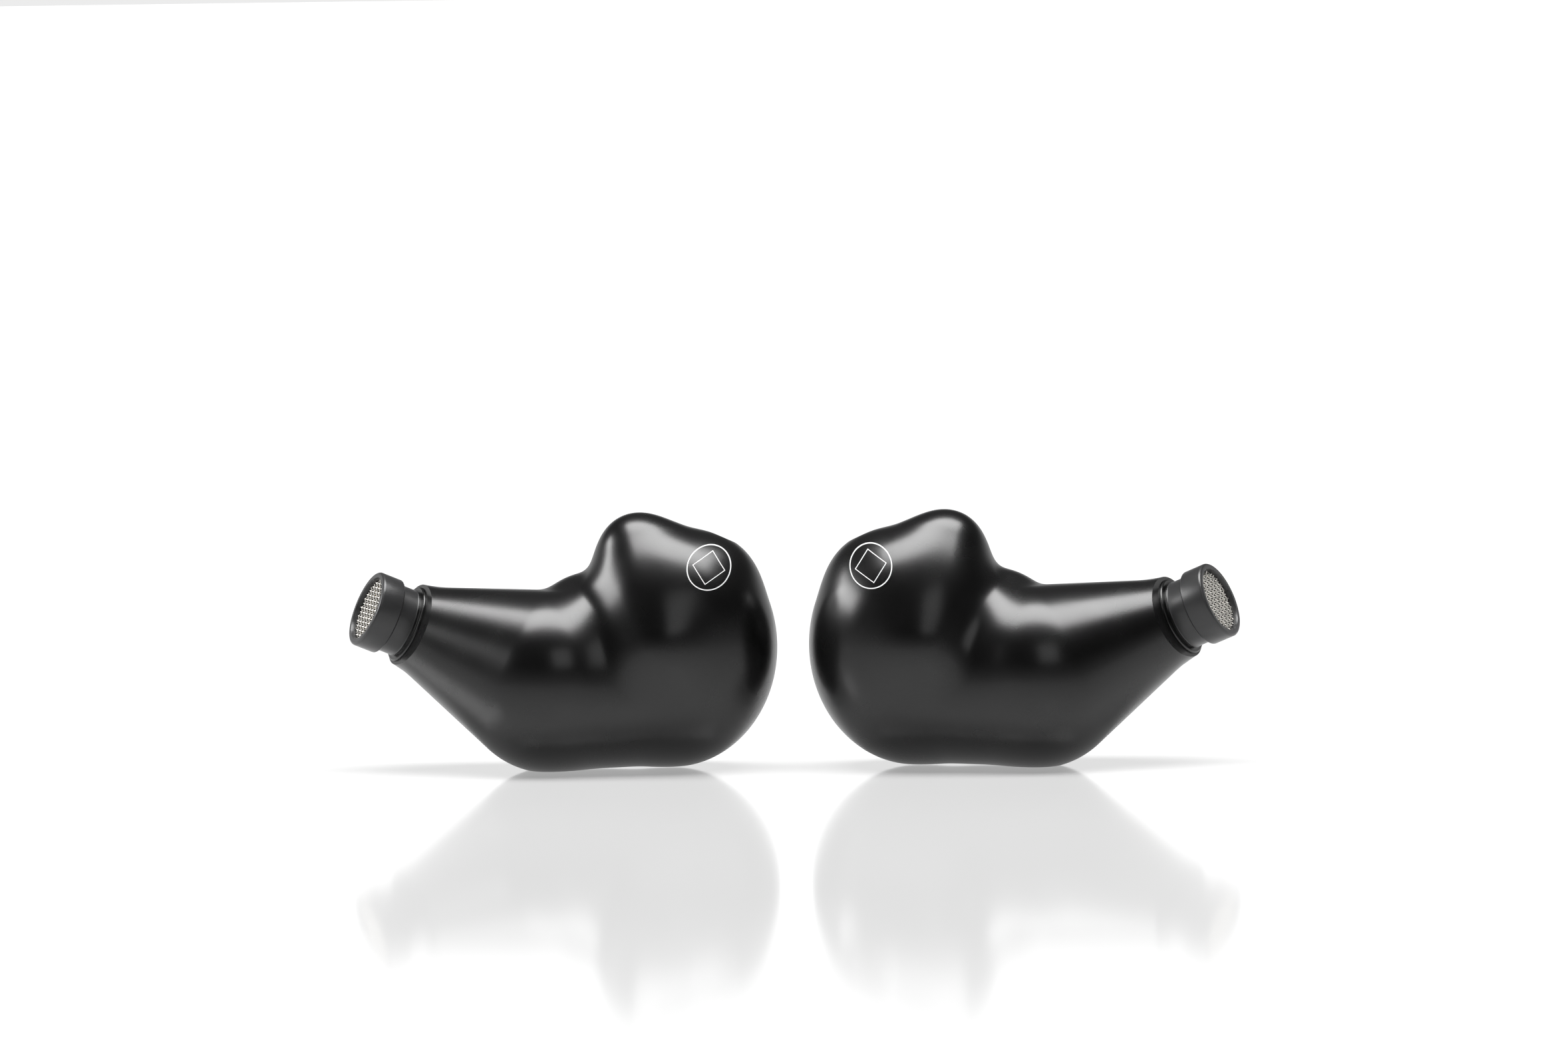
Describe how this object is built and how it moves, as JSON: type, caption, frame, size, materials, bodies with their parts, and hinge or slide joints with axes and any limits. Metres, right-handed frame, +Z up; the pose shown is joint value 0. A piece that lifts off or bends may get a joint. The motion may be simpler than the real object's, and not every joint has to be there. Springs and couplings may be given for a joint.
{
  "type": "pair of in-ear monitors",
  "caption": "Mirrored pair of in-ear monitors: organic satin black metal shells with an angled nozzle, wire mesh grille, rear cover and two-pin cable socket",
  "frame": {"origin": "middle of the pair, left to right and front to back, on the surface that both earpieces stand on", "axes": "+X from the left earpiece to the right one as seen from the ear side, +Y towards the rear covers, +Z up"},
  "size_m": [0.0678, 0.0142, 0.0194],
  "materials": {
    "shell": "bead-blasted and anodised satin black",
    "seal": "soft matt gasket",
    "screw_steel": "blackened, fine turned",
    "nozzle_metal": "turned and anodised satin black",
    "grille_mesh": "woven wire mesh, bright",
    "inner_plastic": "moulded, fine matt",
    "damper_metal": "drawn",
    "sound_tube": "clear soft tube",
    "film": "thin formed film",
    "copper": "wound enamelled copper",
    "driver_steel": "plated",
    "magnet": "nickel plated",
    "screen": "fine woven screen",
    "armature_case": "drawn can, satin",
    "board": "solder-masked circuit board",
    "components": "ceramic chips",
    "socket_plastic": "moulded black",
    "contact_brass": "gold plated",
    "wire_enamel": "enamelled copper strand"
  },
  "bodies": {
    "left_earpiece": {"left_shell": "shell", "left_faceplate": "shell", "left_faceplate_gasket": "seal", "left_faceplate_screws": "screw_steel", "left_nozzle": "nozzle_metal", "left_nozzle_grille": "grille_mesh", "left_nozzle_insert": "inner_plastic", "left_acoustic_dampers": "damper_metal", "left_bass_sound_tube": "sound_tube", "left_mid_sound_tube": "sound_tube", "left_driver_front_cover": "inner_plastic", "left_driver_frame": "inner_plastic", "left_driver_surround": "film", "left_driver_yoke": "driver_steel", "left_driver_magnet": "magnet", "left_driver_top_plate": "driver_steel", "left_driver_rear_screen": "screen", "left_driver_cradle": "inner_plastic", "left_mid_armature": "armature_case", "left_treble_armature": "armature_case", "left_armature_manifold": "inner_plastic", "left_crossover_board": "board", "left_crossover_components": "components", "left_socket_housing": "socket_plastic", "left_socket_contacts": "contact_brass", "left_socket_wires": "wire_enamel", "left_hookup_wires": "wire_enamel"},
    "left_diaphragm_group": {"left_diaphragm": "film", "left_voice_coil": "copper"},
    "right_earpiece": {"right_shell": "shell", "right_faceplate": "shell", "right_faceplate_gasket": "seal", "right_faceplate_screws": "screw_steel", "right_nozzle": "nozzle_metal", "right_nozzle_grille": "grille_mesh", "right_nozzle_insert": "inner_plastic", "right_acoustic_dampers": "damper_metal", "right_bass_sound_tube": "sound_tube", "right_mid_sound_tube": "sound_tube", "right_driver_front_cover": "inner_plastic", "right_driver_frame": "inner_plastic", "right_driver_surround": "film", "right_driver_yoke": "driver_steel", "right_driver_magnet": "magnet", "right_driver_top_plate": "driver_steel", "right_driver_rear_screen": "screen", "right_driver_cradle": "inner_plastic", "right_mid_armature": "armature_case", "right_treble_armature": "armature_case", "right_armature_manifold": "inner_plastic", "right_crossover_board": "board", "right_crossover_components": "components", "right_socket_housing": "socket_plastic", "right_socket_contacts": "contact_brass", "right_socket_wires": "wire_enamel", "right_hookup_wires": "wire_enamel"},
    "right_diaphragm_group": {"right_diaphragm": "film", "right_voice_coil": "copper"}
  },
  "joints": [
    {"name": "right_earpiece_lift", "type": "slide", "parent": "left_earpiece", "child": "right_earpiece", "axis": [0, 0, 1], "range_m": [0, 0.06]},
    {"name": "left_diaphragm_travel", "type": "slide", "parent": "left_earpiece", "child": "left_diaphragm_group", "axis": [0.2079, 0.9781, 0], "range_m": [-0.00015, 0.00015], "stiffness_N_per_m": 50},
    {"name": "right_diaphragm_travel", "type": "slide", "parent": "right_earpiece", "child": "right_diaphragm_group", "axis": [-0.2079, 0.9781, 0], "range_m": [-0.00015, 0.00015], "stiffness_N_per_m": 50}
  ]
}
